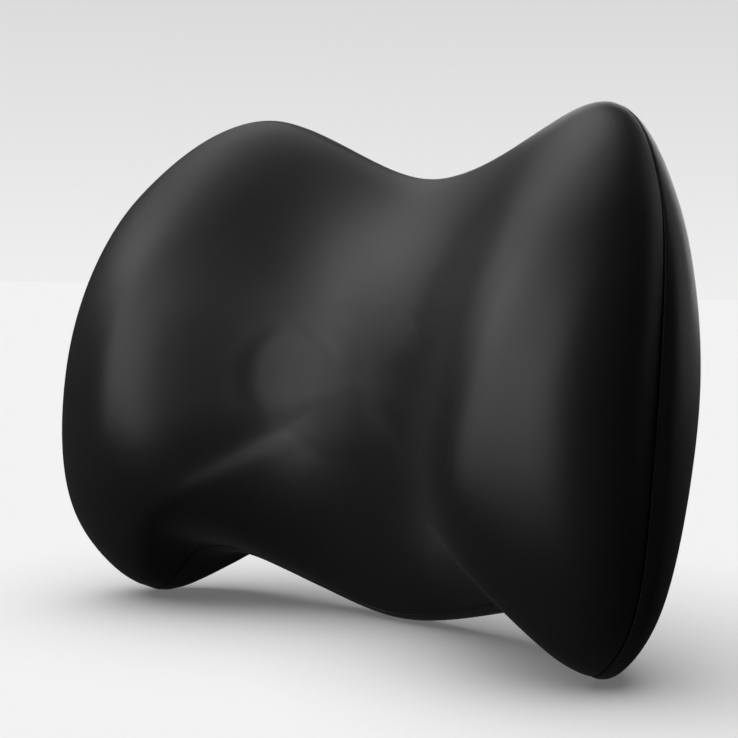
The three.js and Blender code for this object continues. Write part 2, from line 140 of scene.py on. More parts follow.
floor_only, not_floor = (bpy.data.collections.new(name) for name in ("lit_floor", "unlit_floor"))
for collection in (floor_only, not_floor):
    collection.objects.link(floor)
not_floor.collection_objects[0].light_linking.link_state = "EXCLUDE"
sky = bpy.data.objects.new("lamp_over_floor", bpy.data.lights.new("lamp_over_floor", "SUN"))
sky.data.angle, sky.data.energy = SKY_WIDTH, SKY_STRENGTH
sky.matrix_world = Matrix.Rotation(AZIMUTH, 4, "Z") @ Matrix.Rotation(SKY_TILT, 4, "Y")
sky.light_linking.receiver_collection = floor_only
scene.collection.objects.link(sky)


def softbox(name, bearing, height, distance, size, watts):
    """A rectangular lamp that faces the rest, at a bearing in degrees from the camera's own."""
    data = bpy.data.lights.new(name, "AREA")
    data.shape = "RECTANGLE"
    data.size, data.size_y = size
    data.energy = watts
    lamp = bpy.data.objects.new(name, data)
    angle = AZIMUTH + math.radians(bearing)
    place = Vector((distance * math.sin(angle), -distance * math.cos(angle), height))
    direction = (place - REST_MIDDLE).to_track_quat("Z", "Y").to_matrix().to_4x4()
    lamp.matrix_world = Matrix.Translation(place) @ direction
    lamp.visible_camera = False
    lamp.light_linking.receiver_collection = not_floor
    scene.collection.objects.link(lamp)


softbox("lamp_left_front", -41, 0.56, 1.35, (0.26, 1.6), 12.5)
softbox("lamp_left_high", -95, 1.2, 1.1, (0.9, 0.7), 7)
softbox("lamp_right_side", 125, 0.5, 1.2, (0.3, 0.9), 0.8)
softbox("lamp_behind", 162, 0.5, 1.4, (0.9, 0.7), 6.5)
softbox("lamp_above_behind", 205, 1.4, 0.9, (0.9, 0.9), 4)

# ---------------- cover: shape of the pillow
# The knitted cover is two panels stretched tight over the moulded foam: a front panel with the
# hollow for the neck between two wings, and a rounded back panel with a flat middle.
HEIGHT, HALF_WIDTH = 230.0, 152.0
LEAN = math.radians(11)
SEAM_OUTLINE = ((0, 204), (98, HEIGHT), (137, 188), (HALF_WIDTH, 83), (145, 19), (121, -1),
                (97, 24), (0, 7))
SWEEP_ENDS, SWEEP_SIDES, SWEEP_TILT, SWEEP_TIPS = 8, -45, -7, -2.5
WING_DEPTH, VALLEY_DEPTH = (87, 92, 62), (30, 36, 25)
WING_CREST_X, VALLEY_SHAPE = (93, 119), 1.6
FRONT_ROUND, FRONT_OVERHANG = (1.8, 2.2, 1.7), (-4.5, 0, -5.5)
BACK_OVERHANG, BACK_DEPTH, BACK_ROUND, BACK_FLAT = (-7, 17, 10), 36.0, 1.9, 0.58
INNER_OVAL, OVAL_BLEND = (0.97 * HALF_WIDTH, 0.47 * HEIGHT), 2.2
POLE_SOFTNESS = 0.1
MIDDLE_Z = (SEAM_OUTLINE[0][1] + SEAM_OUTLINE[-1][1]) / 2
stand = Matrix.Translation((0, 2.34 * MM, -0.04 * MM)) @ Matrix.Rotation(-LEAN, 4, "X")


def seam_curve():
    """Points every fraction of a millimetre along the seam, seen from the front, and their distances."""
    left = [(-x, z) for x, z in SEAM_OUTLINE[-2:0:-1]]
    knots = [np.array(p, float) for p in (*SEAM_OUTLINE, *left)]
    count, points = len(knots), []
    t = np.linspace(0, 1, 60, endpoint=False)[:, None]
    for i in range(count):
        p0, p1, p2, p3 = (knots[(i + k) % count] for k in (-1, 0, 1, 2))
        d0, d1, d2 = (math.sqrt(np.hypot(*(b - a))) for a, b in ((p0, p1), (p1, p2), (p2, p3)))
        m1 = ((p1 - p0) / d0 - (p2 - p0) / (d0 + d1) + (p2 - p1) / d1) * d1
        m2 = ((p2 - p1) / d1 - (p3 - p1) / (d1 + d2) + (p3 - p2) / d2) * d1
        points.append(p1 + m1 * t + (3 * (p2 - p1) - 2 * m1 - m2) * t**2
                      + (2 * (p1 - p2) + m1 + m2) * t**3)
    points = np.vstack([*points, points[0][:1]])
    distance = np.concatenate([[0], np.cumsum(np.hypot(*np.diff(points, axis=0).T))])
    return points, distance / distance[-1]


CURVE, CURVE_TURN = seam_curve()


def over_height(values, z):
    """A value given at the bottom, the middle and the top, at height z."""
    bottom, middle, top = values
    u = 2 * z / HEIGHT - 1
    return middle + (top - bottom) / 2 * u + ((top + bottom) / 2 - middle) * u**2


def domed(reach, fullness):
    """The height of a dome of height 1, from its middle (reach 0) to its rim (reach 1)."""
    soft = POLE_SOFTNESS**2
    spread = (reach**2 + soft) ** (fullness / 2) - soft ** (fullness / 2)
    rim = (1 + soft) ** (fullness / 2) - soft ** (fullness / 2)
    return np.clip(1 - spread / rim, 0, 1) ** (1 / fullness)


def pillow_points(front, turn, rise):
    """Points of a panel in millimetres, before the pillow leans: turn goes round the seam from 0
    to 1, and rise from 0 at the seam to a quarter turn at the panel's middle."""
    turn, rise = np.broadcast_arrays(np.asarray(turn, float), np.asarray(rise, float))
    wrapped = turn % 1
    edge_x = np.interp(wrapped, CURVE_TURN, CURVE[:, 0])
    edge_z = np.interp(wrapped, CURVE_TURN, CURVE[:, 1])
    out_x, out_z = edge_x, edge_z - MIDDLE_Z
    length = np.hypot(out_x, out_z)
    share_x, share_z = out_x / length, out_z / length
    above, below = np.maximum(share_z, 0) ** 2, np.minimum(share_z, 0) ** 2

    def mix(values):
        return above * values[0] + share_x**2 * values[1] + below * values[2]

    reach = np.clip(np.cos(rise), 0, 1)
    blend = reach**OVAL_BLEND
    oval_x = INNER_OVAL[0] * np.sin(2 * np.pi * turn)
    oval_z = INNER_OVAL[1] * np.cos(2 * np.pi * turn)
    overhang = mix(FRONT_OVERHANG if front else BACK_OVERHANG) * np.sin(2 * rise) * reach
    x = reach * (oval_x + (out_x - oval_x) * blend) + overhang * share_x
    z = reach * (oval_z + (out_z - oval_z) * blend) + overhang * share_z + MIDDLE_Z
    up, out = 2 * edge_z / HEIGHT - 1, edge_x / HALF_WIDTH
    sweep = (SWEEP_ENDS * up**2 + SWEEP_SIDES * out**2 + SWEEP_TILT * up
             + SWEEP_TIPS * np.minimum(up, 0) ** 2 * out**2)
    if front:
        valley, wing = over_height(VALLEY_DEPTH, z), over_height(WING_DEPTH, z)
        crest = WING_CREST_X[0] + (WING_CREST_X[1] - WING_CREST_X[0]) * z / HEIGHT
        across = np.clip(np.abs(x) / crest, 0, 1)
        wave = ((1 - np.cos(np.pi * across)) / 2) ** VALLEY_SHAPE
        dome = domed(reach, mix(FRONT_ROUND))
        y = sweep * reach**2 - (valley + (wing - valley) * wave) * dome
    else:
        beyond_flat = np.clip((reach - BACK_FLAT) / (1 - BACK_FLAT), 0, 1)
        y = sweep * beyond_flat**2 + BACK_DEPTH * domed(beyond_flat, BACK_ROUND)
    return np.stack([x, y, z], -1)


def pillow_normals(front, turn, rise):
    """Outward unit normals at the same places, taken a little off the middle where turns meet."""
    rise = np.minimum(rise, math.pi / 2 - 0.03)
    along = pillow_points(front, turn + 0.002, rise) - pillow_points(front, turn - 0.002, rise)
    low = np.maximum(rise - 0.01, 0.002)
    up = pillow_points(front, turn, rise + 0.01) - pillow_points(front, turn, low)
    normal = np.cross(along, up)
    normal /= np.maximum(np.linalg.norm(normal, axis=-1, keepdims=True), 1e-9)
    return -normal if front else normal


def rise_at(front, turn, distance):
    """The rise at which a panel is that many millimetres from the seam."""
    seam = pillow_points(front, turn, np.zeros_like(turn))
    low, high = np.zeros_like(turn), np.full_like(turn, 0.8)
    for _ in range(26):
        middle = (low + high) / 2
        near = np.linalg.norm(pillow_points(front, turn, middle) - seam, axis=-1) < distance
        low, high = np.where(near, middle, low), np.where(near, high, middle)
    return low


# Rounds of smoothing, and the rings at the rim that it leaves alone or fades in over.
SMOOTHING, SETTLING, HELD_RINGS, HELD_FADE = 120, 60, 3, 6
# A panel's mesh has rings of even quads round its rim and a square patch of quads in its middle.
HALF_PATCH = 22
AROUND = 8 * HALF_PATCH
RINGS = 26
PATCH_REACH = 0.34


def panel_grid(first_rise):
    """The turn and the rise of each point of a panel from its rim inwards, and its faces."""
    turns = np.arange(AROUND) / AROUND
    share = (np.arange(RINGS) / RINGS)[:, None]
    patch_rise = math.acos(PATCH_REACH)
    rises = first_rise + (patch_rise - first_rise) * share
    turn, rise = [np.broadcast_to(turns, rises.shape).ravel()], [rises.ravel()]
    faces = []
    for ring in range(RINGS):
        for i in range(AROUND):
            j = (i + 1) % AROUND
            a, b = ring * AROUND, (ring + 1) * AROUND
            faces.append((a + i, a + j, b + j, b + i))
    numbers = {}
    count = RINGS * AROUND
    for shell in range(HALF_PATCH, 0, -1):
        for step in range(8 * shell):
            numbers[shell_place(shell, step)] = count
            count += 1
        turn.append(np.arange(8 * shell) / (8 * shell))
        rise.append(np.full(8 * shell, math.pi / 2 - (math.pi / 2 - patch_rise) * shell / HALF_PATCH))
    numbers[0, 0] = count
    turn.append([0.0])
    rise.append([math.pi / 2])
    for i in range(-HALF_PATCH, HALF_PATCH):
        for j in range(-HALF_PATCH, HALF_PATCH):
            corners = ((i, j), (i, j + 1), (i + 1, j + 1), (i + 1, j))
            faces.append(tuple(numbers[c] for c in corners))
    return np.concatenate(turn), np.concatenate(rise), faces


def shell_place(shell, step):
    """The column and row of a point on a square shell, clockwise from the top middle."""
    step = (step + shell) % (8 * shell)
    side, along = divmod(step, 2 * shell)
    across = along - shell
    return ((across, shell), (shell, -across), (-across, -shell), (-shell, across))[side]


def flat_places(front, turn, rise):
    """Where points lie, in metres, when the panel is spread flat from its middle."""
    steps = np.linspace(0, math.pi / 2, 90)
    turns = np.arange(361) / 360
    table = pillow_points(front, turns[:, None], steps[None, :])
    lengths = np.linalg.norm(np.diff(table, axis=1), axis=-1)[:, ::-1].cumsum(axis=1)[:, ::-1]
    lengths = np.hstack([lengths, np.zeros((361, 1))])
    at = np.clip(rise / steps[1], 0, 88.999)
    row, column = turn % 1 * 360, at.astype(int)
    low, share = row.astype(int), at - column
    length = lengths[low, column] * (1 - share) + lengths[low, column + 1] * share
    return np.stack([length * np.sin(2 * np.pi * turn), length * np.cos(2 * np.pi * turn)], -1) * MM


def smoothed(points, faces, rounds, held, back=-0.52):
    """Evens out a panel as stretched cloth and foam do, with its first rings held. Every other
    round steps back, so that the panel keeps its size."""
    edges = np.array([(f[k], f[(k + 1) % 4]) for f in faces for k in range(4)])
    edges = np.unique(np.sort(edges, axis=1), axis=0)
    both = np.concatenate([edges, edges[:, ::-1]])
    count = np.bincount(both[:, 0], minlength=len(points))[:, None]
    freedom = np.clip((np.arange(len(points)) // AROUND - held) / HELD_FADE, 0, 1)[:, None]
    for number in range(rounds):
        total = np.zeros_like(points)
        np.add.at(total, both[:, 0], points[both[:, 1]])
        strength = back if number % 2 else 0.5
        points = points + strength * freedom * (total / count - points)
    return points


def mesh_object(name, points, faces):
    """A smooth mesh from points in millimetres."""
    mesh = bpy.data.meshes.new(name)
    mesh.from_pydata((points * MM).tolist(), [], faces)
    obj = bpy.data.objects.new(name, mesh)
    scene.collection.objects.link(obj)
    mesh.polygons.foreach_set("use_smooth", [True] * len(mesh.polygons))
    return obj


def apply_modifiers(obj):
    """Applies every modifier, in order."""
    pick(obj)
    for modifier in list(obj.modifiers):
        bpy.ops.object.modifier_apply(modifier=modifier.name)


def stretch_over_foam(obj, faces, pinned, cap):
    """Tightens the panel under cloth simulation, held at its seam, and caps how far it moves."""
    rest = np.array([v.co for v in obj.data.vertices])
    group = obj.vertex_groups.new(name="seam")
    group.add(list(pinned), 1.0, "REPLACE")
    cloth = obj.modifiers.new("cloth", "CLOTH")
    cloth.settings.vertex_group_mass = "seam"
    cloth.settings.effector_weights.gravity = 0
    cloth.settings.use_pressure = True
    cloth.settings.uniform_pressure_force = 4
    cloth.settings.quality = 5
    cloth.settings.tension_stiffness = cloth.settings.compression_stiffness = 20
    cloth.settings.bending_stiffness = 2
    for number in range(1, 21):
        scene.frame_set(number)
    shaped = obj.evaluated_get(bpy.context.evaluated_depsgraph_get())
    moved = np.array([v.co for v in shaped.data.vertices]) - rest
    obj.modifiers.remove(cloth)
    scene.frame_set(1)
    far = np.linalg.norm(moved, axis=1, keepdims=True)
    moved *= np.minimum(1, cap / np.maximum(far, 1e-9))
    return rest + smoothed(moved, faces, SETTLING, HELD_RINGS, 0.5)


# The panels' edges roll in at the seam and run 3 mm down inside it: distances along and down.
LIP = ((0.22, 3.0), (0.22, 1.6), (0.24, 0.9), (0.36, 0.42), (0.62, 0.13), (0.95, 0.0))
EDGE_START = 1.6
TURNS = np.arange(AROUND) / AROUND


def down_at_seam(turn):
    """The direction straight down into the seam."""
    into = -sum(pillow_normals(f, turn, rise_at(f, turn, 1.5)) for f in (True, False))
    return into / np.linalg.norm(into, axis=-1, keepdims=True)


def make_cover_panel(name, front, cap):
    """One knitted panel from the bottom of the seam inwards; its cloth moves no more than the cap."""
    turn, rise, faces = panel_grid(rise_at(front, TURNS, EDGE_START))
    points = smoothed(pillow_points(front, turn, rise), faces, SMOOTHING, HELD_RINGS)
    slack = mesh_object(name, points, faces)
    points = stretch_over_foam(slack, faces, range(HELD_RINGS * AROUND), cap) / MM
    bpy.data.objects.remove(slack)
    lips = [pillow_points(front, TURNS, rise_at(front, TURNS, along)) + deep * down_at_seam(TURNS)
            for along, deep in LIP]
    lip_count = len(LIP) * AROUND
    lip_faces = [(a + i, a + (i + 1) % AROUND, b + (i + 1) % AROUND, b + i)
                 for a, b in ((r * AROUND, (r + 1) * AROUND) for r in range(len(LIP)))
                 for i in range(AROUND)]
    faces = lip_faces + [tuple(n + lip_count for n in face) for face in faces]
    points = np.vstack([*lips, points])
    turn = np.concatenate([np.tile(TURNS, len(LIP)), turn])
    lip_rise = np.concatenate([rise_at(front, TURNS, along) for along, _ in LIP])
    rise = np.concatenate([lip_rise, rise])
    if not front:
        faces = [face[::-1] for face in faces]
    panel = mesh_object(name, points, faces)
    lay_uv(panel, flat_places(front, turn, rise))
    finer = panel.modifiers.new("finer", "SUBSURF")
    finer.levels = finer.render_levels = 1
    apply_modifiers(panel)
    return panel


def lay_uv(obj, places):
    """Gives each point its place on the flat cloth, in metres."""
    layer = obj.data.uv_layers.new(name="cloth")
    corners = np.zeros(len(obj.data.loops), int)
    obj.data.loops.foreach_get("vertex_index", corners)
    layer.data.foreach_set("uv", places[corners].astype(np.float32).ravel())


def maths(tree, operation, *values):
    """A math node on numbers and other nodes' outputs."""
    node = tree.nodes.new("ShaderNodeMath")
    node.operation = operation
    for socket, value in zip(node.inputs, values):
        if isinstance(value, bpy.types.NodeSocket):
            tree.links.new(value, socket)
        else:
            socket.default_value = value
    return node.outputs[0]


def texture(tree, kind, **settings):
    """A texture node in the piece's own coordinates."""
    place = tree.nodes.new("ShaderNodeTexCoord")
    node = tree.nodes.new(kind)
    for name, value in settings.items():
        node.inputs[name].default_value = value
    tree.links.new(place.outputs["Object"], node.inputs["Vector"])
    return node


def noise(tree, scale, detail=2):
    """Uneven patches, that many to the metre."""
    return texture(tree, "ShaderNodeTexNoise", Scale=scale, Detail=detail).outputs["Fac"]


def patchy(tree, scale, low, high):
    """Broad patches that spread from low to high."""
    return ranged(tree, noise(tree, scale, 4), low, high, 0.3, 0.7)


def cloth_place(tree):
    """The distances along and up the flat cloth, in metres."""
    uv = tree.nodes.new("ShaderNodeUVMap")
    uv.uv_map = "cloth"
    place = tree.nodes.new("ShaderNodeSeparateXYZ")
    tree.links.new(uv.outputs["UV"], place.inputs[0])
    return place.outputs["X"], place.outputs["Y"]


def shaded(tree, shader, colour, factor):
    """The finish's colour, lighter and darker with the factor."""
    mix = tree.nodes.new("ShaderNodeMix")
    mix.data_type, mix.blend_type = "RGBA", "MULTIPLY"
    mix.inputs["Factor"].default_value = 1
    mix.inputs[6].default_value = (*colour, 1)
    tree.links.new(factor, mix.inputs[7])
    tree.links.new(mix.outputs[2], shader.inputs["Base Color"])


def raised(tree, shader, height, distance, strength=1.0):
    """Relief of the given depth in millimetres."""
    bump = tree.nodes.new("ShaderNodeBump")
    bump.inputs["Strength"].default_value = strength
    bump.inputs["Distance"].default_value = distance * MM
    tree.links.new(height, bump.inputs["Height"])
    tree.links.new(bump.outputs[0], shader.inputs["Normal"])


def knit_material(name, colour, wale, course, sheen):
    """Fine knit: columns of slanted stitches, a little uneven in colour and gloss, with each stitch's
    painted shade and highlight.
    """
    material, tree, shader = node_material(name)
    x, y = cloth_place(tree)
    slant = maths(tree, "PINGPONG", maths(tree, "MULTIPLY", x, 1 / (wale * MM)), 0.5)
    row = maths(tree, "MULTIPLY_ADD", y, 1 / (course * MM), slant)
    stitch = maths(tree, "SINE", maths(tree, "MULTIPLY", row, 2 * math.pi))
    rib = maths(tree, "SINE", maths(tree, "MULTIPLY", slant, 2 * math.pi))
    relief = maths(tree, "MULTIPLY_ADD", stitch, 0.35, rib)
    cloud = patchy(tree, 24, 0.88, 1.12)
    # Colour follows the stitches' relief: painted shade in their hollows and a painted highlight on their
    # raised tops.
    painted_stitch_shading = ranged(tree, relief, 0.8, 1.15, -0.35, 1.35)
    shaded(tree, shader, colour, maths(tree, "MULTIPLY", cloud, painted_stitch_shading))
    fuzz = noise(tree, 1800)
    tree.links.new(ranged(tree, fuzz, 0.37, 0.45), shader.inputs["Roughness"])
    shader.inputs["Sheen Weight"].default_value = sheen
    shader.inputs["Sheen Roughness"].default_value = 0.4
    raised(tree, shader, maths(tree, "MULTIPLY_ADD", fuzz, 0.5, relief), 0.04, 0.5)
    return material


def place_on(piece, body, nodes, material, lean=stand):
    """Leans a piece as it stands, gives it its finish and its body, and hides the solids it stands for."""
    piece.data.transform(lean)
    piece.data.materials.clear()
    piece.data.materials.append(material)
    if body:
        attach(piece, body)
    if nodes:
        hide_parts(*nodes)


front_cover = make_cover_panel("front_cover_knit", True, 0.9 * MM)
front_knit = knit_material("front_knit", (0.012, 0.012, 0.0125), 0.5, 0.4, 0.05)
place_on(front_cover, "pillow", ["cover_front"], front_knit)

back_cover = make_cover_panel("back_cover_knit", False, 0.35 * MM)
back_knit = knit_material("back_knit", (0.014, 0.014, 0.0145), 0.6, 0.5, 0.05)
place_on(back_cover, "pillow", ["cover_back"], back_knit)

# ---------------- liner and foam
# Under the cover the foam wears a thin off-white stockinette liner, glued at the same seam line.
# The foam itself is one moulded piece of slow cream polyurethane with fine open cells.
LINER_DEPTH, FOAM_DEPTH = 1.6, 2.8


def make_inner_panel(name, front, depth):
    """A panel that lies inside the cover at an even depth, closed to the seam line."""
    turn, rise, faces = panel_grid(rise_at(front, TURNS, EDGE_START + depth))
    points = smoothed(pillow_points(front, turn, rise), faces, SMOOTHING, HELD_RINGS)
    points -= depth * pillow_normals(front, turn, rise)
    if not front:
        faces = [face[::-1] for face in faces]
    panel = mesh_object(name, points, faces)
    lay_uv(panel, flat_places(front, turn, rise))
    return panel


liner_knit = knit_material("liner_stockinette", (0.72, 0.7, 0.65), 0.9, 0.7, 0.2)
for side, front in (("front", True), ("back", False)):
    liner = make_inner_panel(f"liner_{side}_stockinette", front, LINER_DEPTH)
    thick = liner.modifiers.new("cloth thickness", "SOLIDIFY")
    thick.thickness, thick.offset = 0.5 * MM, -1
    apply_modifiers(liner)
    place_on(liner, "pillow", [f"liner_{side}"], liner_knit)


def join(pieces, name):
    """Joins pieces into the first of them."""
    pick(*pieces)
    if len(pieces) > 1:
        bpy.ops.object.join()
    whole = bpy.context.object
    whole.name = whole.data.name = name
    return whole


foam = join([make_inner_panel("foam_half", front, FOAM_DEPTH) for front in (True, False)], "foam_block")
bpy.ops.object.mode_set(mode="EDIT")
bpy.ops.mesh.select_all(action="DESELECT")
bpy.ops.mesh.select_non_manifold()
bpy.ops.mesh.bridge_edge_loops(number_cuts=2, interpolation="SURFACE", smoothness=0.6)
bpy.ops.object.mode_set(mode="OBJECT")
bpy.ops.object.shade_smooth()

foam_finish, tree, shader = node_material("moulded_foam")
cells = texture(tree, "ShaderNodeTexVoronoi", Scale=900)
# The cells' pits are painted darker and their rims lighter: painted shade in the pores.
painted_pore_shade = ranged(tree, cells.outputs["Distance"], 0.82, 1.05, 0, 0.7)
shaded(tree, shader, (0.8, 0.74, 0.58), maths(tree, "MULTIPLY", painted_pore_shade, patchy(tree, 30, 0.93, 1.05)))
shader.inputs["Roughness"].default_value = 0.9
raised(tree, shader, cells.outputs["Distance"], 0.4, 0.6)
place_on(foam, "pillow", ["foam_core"], foam_finish)

# ---------------- edge seam
# The panels are joined by one machine seam right round the pillow, at the bottom of a narrow
# groove: a turned-in tape of cover cloth, crossed by slanting stitches of black polyester thread.
TAPE_DEPTH, TAPE_RADIUS, TAPE_STEP = 1.5, 0.32, 2.5
SEAM_STITCH, STITCH_DEPTH, STITCH_SLANT, THREAD = 3.2, 1.05, math.radians(58), 0.36


def seam_frames(pitch, depth):
    """Frames down in the groove at an even pitch: X along the seam and Y out of the groove."""
    fine = np.linspace(0, 1, 2001)
    points = pillow_points(True, fine, np.zeros_like(fine))
    distance = np.concatenate([[0], np.linalg.norm(np.diff(points, axis=0), axis=1).cumsum()])
    count = round(distance[-1] / pitch)
    turn = np.interp(np.arange(count) / count * distance[-1], distance, fine)
    places = pillow_points(True, turn, np.zeros_like(turn)) + depth * down_at_seam(turn)
    ahead = pillow_points(True, turn + 0.001, np.zeros_like(turn))
    frames = []
    for place, along, down in zip(places, ahead - places, down_at_seam(turn)):
        out = Vector(-down)
        across = Vector(along).cross(out).normalized()
        axes = Matrix((out.cross(across), out, across)).transposed().to_4x4()
        frames.append(Matrix.Translation(Vector(place) * MM) @ axes)
    return frames


def edit(obj):
    """Opens one piece in edit mode with all of it selected."""
    pick(obj)
    bpy.ops.object.mode_set(mode="EDIT")
    bpy.ops.mesh.select_all(action="SELECT")


def close_edit():
    """Leaves edit mode."""
    bpy.ops.object.mode_set(mode="OBJECT")


def choose(obj, kind, test):
    """Selects the corners, edges or faces whose middle, in millimetres, and direction pass a test."""
    bpy.ops.mesh.select_mode(type=kind)
    bpy.ops.mesh.select_all(action="DESELECT")
    mesh = bmesh.from_edit_mesh(obj.data)
    mesh.normal_update()
    for part in {"VERT": mesh.verts, "EDGE": mesh.edges, "FACE": mesh.faces}[kind]:
        if kind == "VERT":
            chosen = test(part.co / MM, part.normal)
        elif kind == "EDGE":
            a, b = (corner.co / MM for corner in part.verts)
            chosen = test((a + b) / 2, (b - a).normalized())
        else:
            chosen = test(part.calc_center_median() / MM, part.normal)
        part.select_set(bool(chosen))
    bmesh.update_edit_mesh(obj.data)


def extrude(x, y, z):
    """Pulls the selection out by millimetres."""
    bpy.ops.mesh.extrude_region_move(TRANSFORM_OT_translate={"value": (x * MM, y * MM, z * MM)})


def repeat(piece, places, name):
    """Copies a piece that was modelled once to every place, and joins the copies."""
    copies = []
    for place in places:
        copy = piece.copy()
        copy.data = piece.data.copy()
        copy.data.transform(place)
        scene.collection.objects.link(copy)
        copies.append(copy)
    bpy.data.objects.remove(piece)
    return join(copies, name)


def add_rod(sides, radius, length, turn):
    """A short rod, turned from Z to another axis."""
    pick()
    bpy.ops.mesh.primitive_cylinder_add(vertices=sides, radius=radius * MM, depth=length * MM,
                                        rotation=turn)
    bpy.ops.object.transform_apply()
    return bpy.context.object


def add_stitch(length, thick):
    """One stitch along X, with its back up along Y, that dips into the cloth at both ends."""
    stitch = add_rod(6, thick / 2, 0.5 * length, (0, math.pi / 2, 0))
    edit(stitch)
    for end in (-1, 1):
        choose(stitch, "FACE", lambda middle, normal: normal.x * end > 0.9)
        extrude(end * 0.17 * length, -0.3 * thick, 0)
        bpy.ops.transform.resize(value=(1, 0.85, 0.85))
        extrude(end * 0.08 * length, -0.6 * thick, 0)
        bpy.ops.transform.resize(value=(1, 0.5, 0.5))
    close_edit()
    bpy.ops.object.shade_smooth()
    return stitch


thread, tree, shader = node_material("polyester_thread")
twist = texture(tree, "ShaderNodeTexWave", Scale=900, Distortion=3)
twist.bands_direction = "DIAGONAL"
# Colour follows the twist's relief: painted shade in the grooves between the fibres and a painted highlight
# on their ridges.
shaded(tree, shader, (0.014, 0.014, 0.015), ranged(tree, twist.outputs["Fac"], 0.7, 1.5))
shader.inputs["Sheen Weight"].default_value = 0.3
tree.links.new(ranged(tree, noise(tree, 2500), 0.38, 0.6), shader.inputs["Roughness"])
raised(tree, shader, twist.outputs["Fac"], 0.05, 0.6)

seam_rail = bpy.data.curves.new("edge_seam_tape", "CURVE")
seam_rail.dimensions = "3D"
seam_rail.bevel_depth, seam_rail.bevel_resolution = TAPE_RADIUS * MM, 2
spline = seam_rail.splines.new("POLY")
rail_frames = seam_frames(TAPE_STEP, TAPE_DEPTH)
spline.points.add(len(rail_frames) - 1)
for point, rail_frame in zip(spline.points, rail_frames):
    point.co = (*rail_frame.translation, 1)
spline.use_cyclic_u = True
seam_tape = bpy.data.objects.new("edge_seam_tape", seam_rail)
scene.collection.objects.link(seam_tape)
pick(seam_tape)
bpy.ops.object.convert(target="MESH")
bpy.ops.object.shade_smooth()
seam_tape = bpy.context.object
place_on(seam_tape, "pillow", ["edge_seam"], thread)

slant = Matrix.Rotation(STITCH_SLANT, 4, "Y")
stitch_places = [place @ slant for place in seam_frames(SEAM_STITCH, STITCH_DEPTH)]
seam_stitches = repeat(add_stitch(1.1, THREAD), stitch_places, "edge_seam_stitches")
place_on(seam_stitches, "pillow", [], thread)

# ---------------- grip strips
# Two strips of rubber-coated cloth are sewn flat across the back panel above and below the strap.
# Each has a low border for its lockstitch, a raised middle and staggered moulded dots that grip.
FLAT_BACK = 36.4
GRIP_SIZE, GRIP_THICK, GRIP_CORNER, GRIP_BORDER = (116, 20), 1.2, 6, 2.6
GRIP_STEP, GRIP_LEVELS = 0.3, {"lower": 82, "upper": 142}
DOT_RADIUS, DOT_HEIGHT, DOT_PITCH = 0.8, 0.4, (4.2, 3.6)
DOT_COLUMNS, DOT_ROWS = 25, 4
ROW_PITCH, ROW_LENGTH = 2.8, 2.3


def add_block(name, low, high):
    """A block between two corners in millimetres."""
    pick()
    low, high = Vector(low) * MM, Vector(high) * MM
    bpy.ops.mesh.primitive_cube_add(size=1, location=(low + high) / 2, scale=high - low)
    bpy.ops.object.transform_apply()
    block = bpy.context.object
    block.name = block.data.name = name
    return block


def round_corners(block, radius, axis="y", segments=6, test=lambda middle: True):
    """Rounds the edges that run along one axis."""
    edit(block)
    choose(block, "EDGE", lambda middle, way: abs(getattr(way, axis)) > 0.99 and test(middle))
    bpy.ops.mesh.bevel(offset=radius * MM, segments=segments, affect="EDGES")
    close_edit()


def soften_edges(piece, radius, segments=3):
    """Gives every sharp edge the small radius that a mould, a die or wear leaves."""
    bevel = piece.modifiers.new("edge radius", "BEVEL")
    bevel.width, bevel.segments = radius * MM, segments
    bevel.limit_method, bevel.angle_limit = "ANGLE", math.radians(38)
    apply_modifiers(piece)
    bpy.ops.object.shade_smooth_by_angle(angle=math.radians(40))


def spot(x, y, z, heading=0.0):
    """A place on the upright pillow in millimetres, turned to a heading from X towards Z."""
    return Matrix.Translation(Vector((x, y, z)) * MM) @ Matrix.Rotation(-heading, 4, "Y")


def straight_run(start, end, y, pitch=ROW_PITCH):
    """Places for a row of stitches from one (x, z) point to another."""
    (x0, z0), (x1, z1) = start, end
    length, heading = math.hypot(x1 - x0, z1 - z0), math.atan2(z1 - z0, x1 - x0)
    count = max(1, round(length / pitch))
    shares = [(n + 0.5) / count for n in range(count)]
    return [spot(x0 + (x1 - x0) * s, y, z0 + (z1 - z0) * s, heading) for s in shares]


def round_run(width, height, corner, middle, y, pitch=ROW_PITCH):
    """Places for a row of stitches round a rectangle with round corners."""
    x, z = middle
    w, h = width / 2, height / 2
    places = []
    flat_w, flat_h = w - corner, h - corner
    for way in (1, -1):
        side_x, side_z = x + way * w, z + way * h
        places += straight_run((x - way * flat_w, side_z), (x + way * flat_w, side_z), y, pitch)
        places += straight_run((side_x, z + way * flat_h), (side_x, z - way * flat_h), y, pitch)
    count = max(1, round(corner * math.pi / 2 / pitch))
    for quarter in range(4):
        centre_x = x + flat_w * (1 if quarter in (0, 3) else -1)
        centre_z = z + flat_h * (1 if quarter in (0, 1) else -1)
        for n in range(count):
            angle = (quarter + (n + 0.5) / count) * math.pi / 2
            place = (centre_x + corner * math.cos(angle), y, centre_z + corner * math.sin(angle))
            places.append(spot(*place, angle + math.pi / 2))
    return places


def sew(name, body, places, lean=stand, length=ROW_LENGTH, thick=THREAD):
    """A row of stitches on a body."""
    place_on(repeat(add_stitch(length, thick), places, name), body, [], thread, lean)


def faces_out(middle, normal):
    """The test for faces that look straight out of the back."""
    return normal.y > 0.9


def inset_faces(piece, test, *steps):
    """Insets the faces that pass a test, by each (thickness, depth) in millimetres in turn."""
    edit(piece)
    choose(piece, "FACE", test)
    for thickness, depth in steps:
        bpy.ops.mesh.inset(thickness=thickness * MM, depth=depth * MM)
    close_edit()


